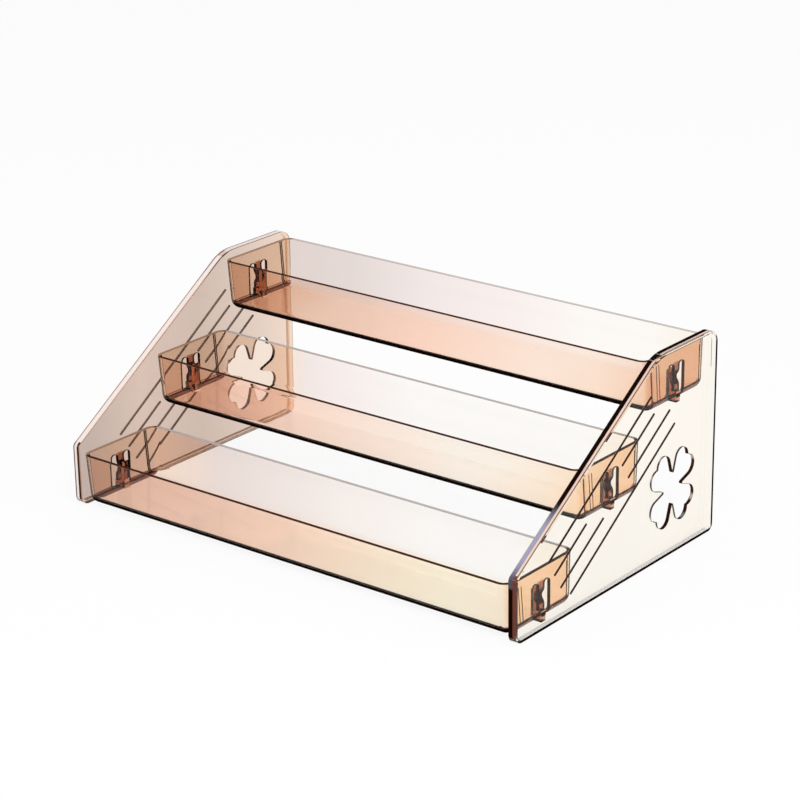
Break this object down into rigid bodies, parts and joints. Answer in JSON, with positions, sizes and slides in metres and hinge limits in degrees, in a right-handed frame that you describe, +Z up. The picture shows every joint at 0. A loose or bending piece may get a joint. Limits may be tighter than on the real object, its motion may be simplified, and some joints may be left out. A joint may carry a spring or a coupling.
{
  "type": "cosmetic display rack",
  "caption": "Stepped display rack of clear amber plastic: open trays that clip between sloped side panels with clover cut-outs.",
  "frame": {"origin": "on the ground, in the middle of the rack's width and depth", "axes": "+X along the trays towards the right side panel, +Y from the low front to the tall back, +Z up"},
  "size_m": [0.302, 0.18, 0.1157],
  "materials": {
    "clear_amber_plastic": "polished, see-through, amber"
  },
  "bodies": {
    "side_panels": {"right_side_panel": "clear_amber_plastic", "left_side_panel": "clear_amber_plastic"},
    "bottom_tray": {"bottom_tray": "clear_amber_plastic"},
    "middle_tray": {"middle_tray": "clear_amber_plastic"},
    "top_tray": {"top_tray": "clear_amber_plastic"}
  },
  "joints": [
    {"name": "bottom_tray_lift", "type": "slide", "parent": "side_panels", "child": "bottom_tray", "axis": [0, 0, 1], "range_m": [0, 0.08]},
    {"name": "middle_tray_lift", "type": "slide", "parent": "side_panels", "child": "middle_tray", "axis": [0, 0, 1], "range_m": [0, 0.08]},
    {"name": "top_tray_lift", "type": "slide", "parent": "side_panels", "child": "top_tray", "axis": [0, 0, 1], "range_m": [0, 0.04]}
  ]
}
